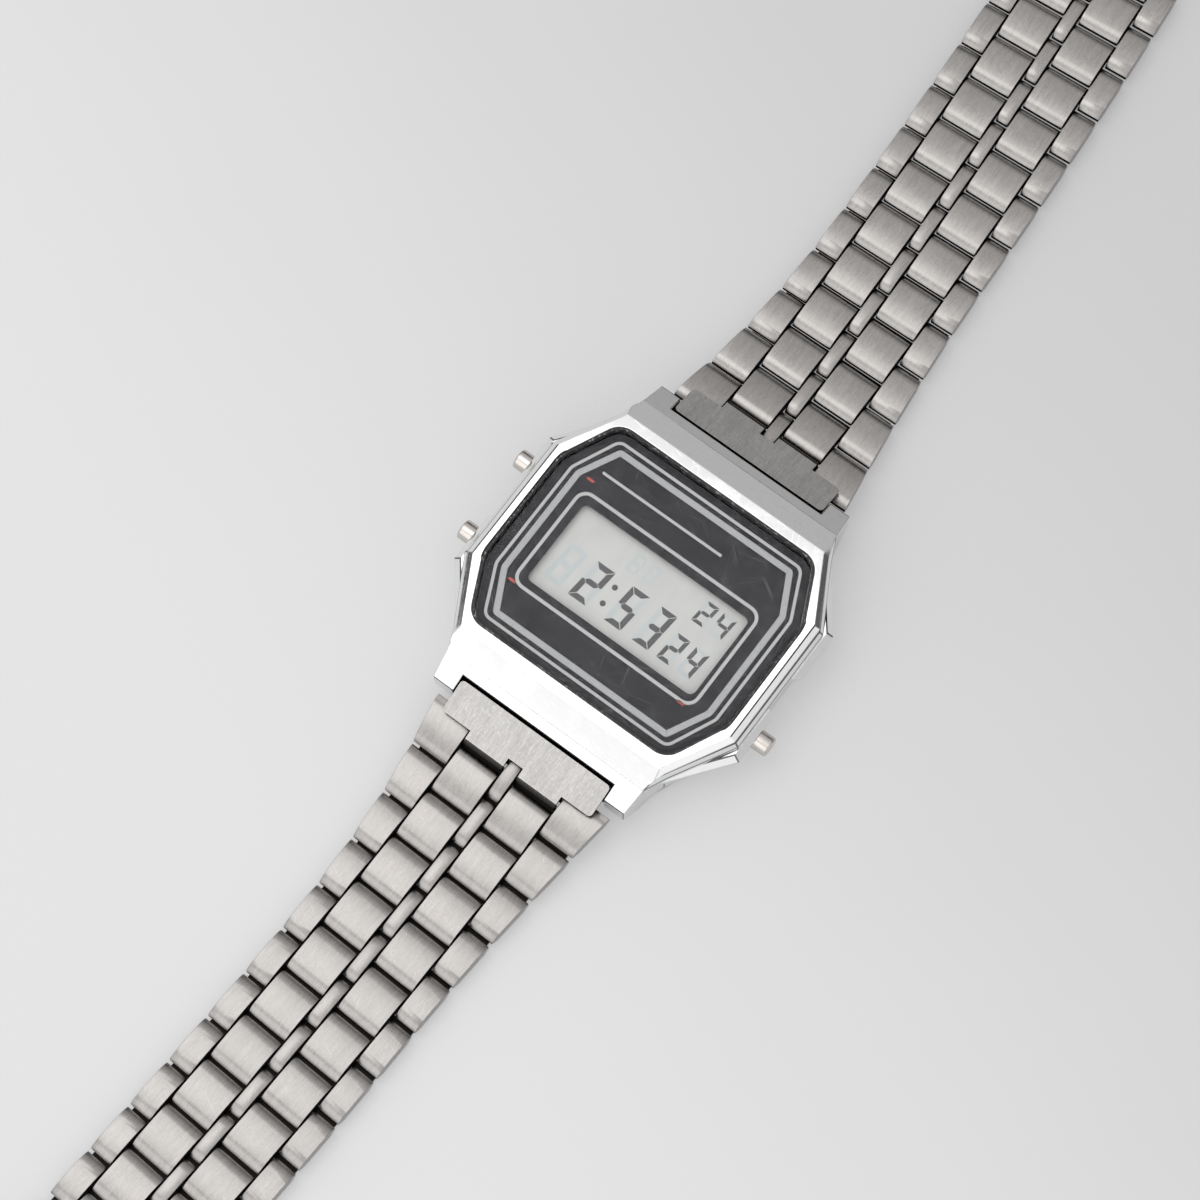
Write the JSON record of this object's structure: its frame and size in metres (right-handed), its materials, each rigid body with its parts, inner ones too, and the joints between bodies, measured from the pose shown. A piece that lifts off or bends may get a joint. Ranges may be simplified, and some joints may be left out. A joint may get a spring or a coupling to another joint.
{
  "type": "digital wristwatch",
  "caption": "Chromed octagonal digital wristwatch with side push buttons on an open folded-link steel bracelet with a fold-over clasp, lying flat on its case back.",
  "frame": {"origin": "centre of the case back's outer face", "axes": "+Z out through the lens, +Y towards 12 o'clock along the bracelet, +X towards 3 o'clock"},
  "size_m": [0.037, 0.1991, 0.0082],
  "materials": {
    "case_chrome": "bright plated",
    "lens_clear": "polished clear",
    "gasket_black": "matt",
    "panel_dark": "printed",
    "display_grey": "satin",
    "reflector_silver": "satin",
    "guide_clear": "clear",
    "strip_rubber": "matt",
    "frame_plastic": "moulded",
    "board_green": "coated",
    "chip_black": "cast",
    "can_steel": "drawn",
    "lamp_clear": "clear",
    "cell_steel": "satin",
    "clamp_steel": "rolled",
    "cover_steel": "rolled",
    "piezo_brass": "satin",
    "contact_gold": "bright",
    "back_steel": "brushed",
    "screw_steel": "turned",
    "button_chrome": "bright turned",
    "spring_steel": "drawn",
    "bar_steel": "turned",
    "pin_steel": "turned",
    "band_steel": "brushed along the band",
    "clasp_steel": "brushed along the band",
    "leaf_steel": "rolled"
  },
  "bodies": {
    "case": {"case_shell": "case_chrome", "lens": "lens_clear", "lens_gasket": "gasket_black", "dial_panel": "panel_dark", "display_glass": "display_grey", "display_reflector": "reflector_silver", "light_guide": "guide_clear", "contact_strips": "strip_rubber", "module_frame": "frame_plastic", "circuit_board": "board_green", "control_chip": "chip_black", "quartz_can": "can_steel", "backlight_lamp": "lamp_clear", "battery": "cell_steel", "battery_clamp": "clamp_steel", "module_cover": "cover_steel", "piezo_disc": "piezo_brass", "piezo_spring": "contact_gold", "case_back": "back_steel", "back_gasket": "gasket_black", "back_screws": "screw_steel", "button_seals": "gasket_black", "spring_bars": "bar_steel", "button_upper_left_spring": "spring_steel", "button_lower_left_spring": "spring_steel", "button_lower_right_spring": "spring_steel"},
    "button_upper_left": {"button_upper_left": "button_chrome"},
    "button_lower_left": {"button_lower_left": "button_chrome"},
    "button_lower_right": {"button_lower_right": "button_chrome"},
    "end_link_12": {"end_link_12": "band_steel"},
    "link_12_01": {"link_12_01": "band_steel"},
    "link_12_02": {"link_12_02": "band_steel"},
    "link_12_03": {"link_12_03": "band_steel"},
    "link_12_04": {"link_12_04": "band_steel"},
    "link_12_05": {"link_12_05": "band_steel"},
    "link_12_06": {"link_12_06": "band_steel"},
    "link_12_07": {"link_12_07": "band_steel"},
    "link_12_08": {"link_12_08": "band_steel"},
    "link_12_09": {"link_12_09": "band_steel"},
    "link_12_10": {"link_12_10": "band_steel"},
    "link_12_11": {"link_12_11": "band_steel"},
    "link_12_12": {"link_12_12": "band_steel"},
    "catch_link": {"catch_link": "clasp_steel", "catch_bar": "pin_steel"},
    "end_link_6": {"end_link_6": "band_steel"},
    "link_6_01": {"link_6_01": "band_steel"},
    "link_6_02": {"link_6_02": "band_steel"},
    "link_6_03": {"link_6_03": "band_steel"},
    "link_6_04": {"link_6_04": "band_steel"},
    "link_6_05": {"link_6_05": "band_steel"},
    "link_6_06": {"link_6_06": "band_steel"},
    "link_6_07": {"link_6_07": "band_steel"},
    "link_6_08": {"link_6_08": "band_steel"},
    "link_6_09": {"link_6_09": "band_steel"},
    "link_6_10": {"link_6_10": "band_steel"},
    "link_6_11": {"link_6_11": "band_steel"},
    "clasp_cover": {"clasp_cover": "clasp_steel", "clasp_pin": "pin_steel"},
    "clasp_leaf": {"clasp_leaf": "leaf_steel"}
  },
  "joints": [
    {"name": "button_upper_left_press", "type": "slide", "parent": "case", "child": "button_upper_left", "axis": [1, 0, 0], "range_m": [0, 0.0006], "stiffness_N_per_m": 400, "deforming": ["button_upper_left_spring"]},
    {"name": "button_lower_left_press", "type": "slide", "parent": "case", "child": "button_lower_left", "axis": [1, 0, 0], "range_m": [0, 0.0006], "stiffness_N_per_m": 400, "deforming": ["button_lower_left_spring"]},
    {"name": "button_lower_right_press", "type": "slide", "parent": "case", "child": "button_lower_right", "axis": [-1, 0, 0], "range_m": [0, 0.0006], "stiffness_N_per_m": 400, "deforming": ["button_lower_right_spring"]},
    {"name": "lug_12", "type": "hinge", "parent": "case", "child": "end_link_12", "pos_m": [0, 0.01725, 0.0039], "axis": [1, 0, 0], "range_deg": [-35, 3]},
    {"name": "hinge_12_01", "type": "hinge", "parent": "end_link_12", "child": "link_12_01", "pos_m": [0, 0.02019, 0.00269], "axis": [1, 0, 0], "range_deg": [-24.77, 1.23]},
    {"name": "hinge_12_02", "type": "hinge", "parent": "link_12_01", "child": "link_12_02", "pos_m": [-0.00004, 0.02558, 0.00157], "axis": [1, 0.0068, -0.0014], "range_deg": [-20.51, 5.49]},
    {"name": "hinge_12_03", "type": "hinge", "parent": "link_12_02", "child": "link_12_03", "pos_m": [-0.00011, 0.03105, 0.00108], "axis": [0.9999, 0.0138, -0.002], "range_deg": [-17.81, 8.19]},
    {"name": "hinge_12_04", "type": "hinge", "parent": "link_12_03", "child": "link_12_04", "pos_m": [-0.00023, 0.03655, 0.00095], "axis": [0.9998, 0.0208, -0.0022], "range_deg": [-15.35, 10.65]},
    {"name": "hinge_12_05", "type": "hinge", "parent": "link_12_04", "child": "link_12_05", "pos_m": [-0.00038, 0.04205, 0.00095], "axis": [0.9996, 0.0277, -0.0022], "range_deg": [-14, 12]},
    {"name": "hinge_12_06", "type": "hinge", "parent": "link_12_05", "child": "link_12_06", "pos_m": [-0.00057, 0.04754, 0.00095], "axis": [0.9994, 0.0347, -0.0022], "range_deg": [-14, 12]},
    {"name": "hinge_12_07", "type": "hinge", "parent": "link_12_06", "child": "link_12_07", "pos_m": [-0.0008, 0.05304, 0.00095], "axis": [0.9991, 0.0417, -0.0022], "range_deg": [-14, 12]},
    {"name": "hinge_12_08", "type": "hinge", "parent": "link_12_07", "child": "link_12_08", "pos_m": [-0.00107, 0.05853, 0.00095], "axis": [0.9988, 0.0487, -0.0022], "range_deg": [-14, 12]},
    {"name": "hinge_12_09", "type": "hinge", "parent": "link_12_08", "child": "link_12_09", "pos_m": [-0.00138, 0.06402, 0.00095], "axis": [0.9984, 0.0556, -0.0022], "range_deg": [-14, 12]},
    {"name": "hinge_12_10", "type": "hinge", "parent": "link_12_09", "child": "link_12_10", "pos_m": [-0.00172, 0.06951, 0.00095], "axis": [0.998, 0.0626, -0.0022], "range_deg": [-14, 12]},
    {"name": "hinge_12_11", "type": "hinge", "parent": "link_12_10", "child": "link_12_11", "pos_m": [-0.0021, 0.075, 0.00095], "axis": [0.9976, 0.0696, -0.0022], "range_deg": [-14, 12]},
    {"name": "hinge_12_12", "type": "hinge", "parent": "link_12_11", "child": "link_12_12", "pos_m": [-0.00252, 0.08048, 0.00095], "axis": [0.9971, 0.0765, -0.0022], "range_deg": [-14, 12]},
    {"name": "catch_hinge", "type": "hinge", "parent": "link_12_12", "child": "catch_link", "pos_m": [-0.00298, 0.08597, 0.00096], "axis": [0.9965, 0.0835, -0.0022], "range_deg": [-14, 12]},
    {"name": "lug_6", "type": "hinge", "parent": "case", "child": "end_link_6", "pos_m": [0, -0.01725, 0.0039], "axis": [1, 0, 0], "range_deg": [-3, 35]},
    {"name": "hinge_6_01", "type": "hinge", "parent": "end_link_6", "child": "link_6_01", "pos_m": [0, -0.02019, 0.00269], "axis": [1, 0, 0], "range_deg": [-1.23, 24.77]},
    {"name": "hinge_6_02", "type": "hinge", "parent": "link_6_01", "child": "link_6_02", "pos_m": [-0.00004, -0.02558, 0.00157], "axis": [1, -0.0068, -0.0014], "range_deg": [-5.49, 20.51]},
    {"name": "hinge_6_03", "type": "hinge", "parent": "link_6_02", "child": "link_6_03", "pos_m": [-0.00011, -0.03105, 0.00108], "axis": [0.9999, -0.0138, -0.002], "range_deg": [-8.19, 17.81]},
    {"name": "hinge_6_04", "type": "hinge", "parent": "link_6_03", "child": "link_6_04", "pos_m": [-0.00023, -0.03655, 0.00095], "axis": [0.9998, -0.0208, -0.0022], "range_deg": [-10.65, 15.35]},
    {"name": "hinge_6_05", "type": "hinge", "parent": "link_6_04", "child": "link_6_05", "pos_m": [-0.00038, -0.04205, 0.00095], "axis": [0.9996, -0.0277, -0.0022], "range_deg": [-12, 14]},
    {"name": "hinge_6_06", "type": "hinge", "parent": "link_6_05", "child": "link_6_06", "pos_m": [-0.00057, -0.04754, 0.00095], "axis": [0.9994, -0.0347, -0.0022], "range_deg": [-12, 14]},
    {"name": "hinge_6_07", "type": "hinge", "parent": "link_6_06", "child": "link_6_07", "pos_m": [-0.0008, -0.05304, 0.00095], "axis": [0.9991, -0.0417, -0.0022], "range_deg": [-12, 14]},
    {"name": "hinge_6_08", "type": "hinge", "parent": "link_6_07", "child": "link_6_08", "pos_m": [-0.00107, -0.05853, 0.00095], "axis": [0.9988, -0.0487, -0.0022], "range_deg": [-12, 14]},
    {"name": "hinge_6_09", "type": "hinge", "parent": "link_6_08", "child": "link_6_09", "pos_m": [-0.00138, -0.06402, 0.00095], "axis": [0.9984, -0.0556, -0.0022], "range_deg": [-12, 14]},
    {"name": "hinge_6_10", "type": "hinge", "parent": "link_6_09", "child": "link_6_10", "pos_m": [-0.00172, -0.06951, 0.00095], "axis": [0.998, -0.0626, -0.0022], "range_deg": [-12, 14]},
    {"name": "hinge_6_11", "type": "hinge", "parent": "link_6_10", "child": "link_6_11", "pos_m": [-0.0021, -0.075, 0.00095], "axis": [0.9976, -0.0696, -0.0022], "range_deg": [-12, 14]},
    {"name": "cover_hinge", "type": "hinge", "parent": "link_6_11", "child": "clasp_cover", "pos_m": [-0.00252, -0.08048, 0.00095], "axis": [0.9971, -0.0765, -0.0022], "range_deg": [-12, 14]},
    {"name": "leaf_hinge", "type": "hinge", "parent": "clasp_cover", "child": "clasp_leaf", "pos_m": [-0.00438, -0.10261, 0.00081], "axis": [-0.9965, 0.0835, 0.0022], "range_deg": [0, 170]}
  ]
}
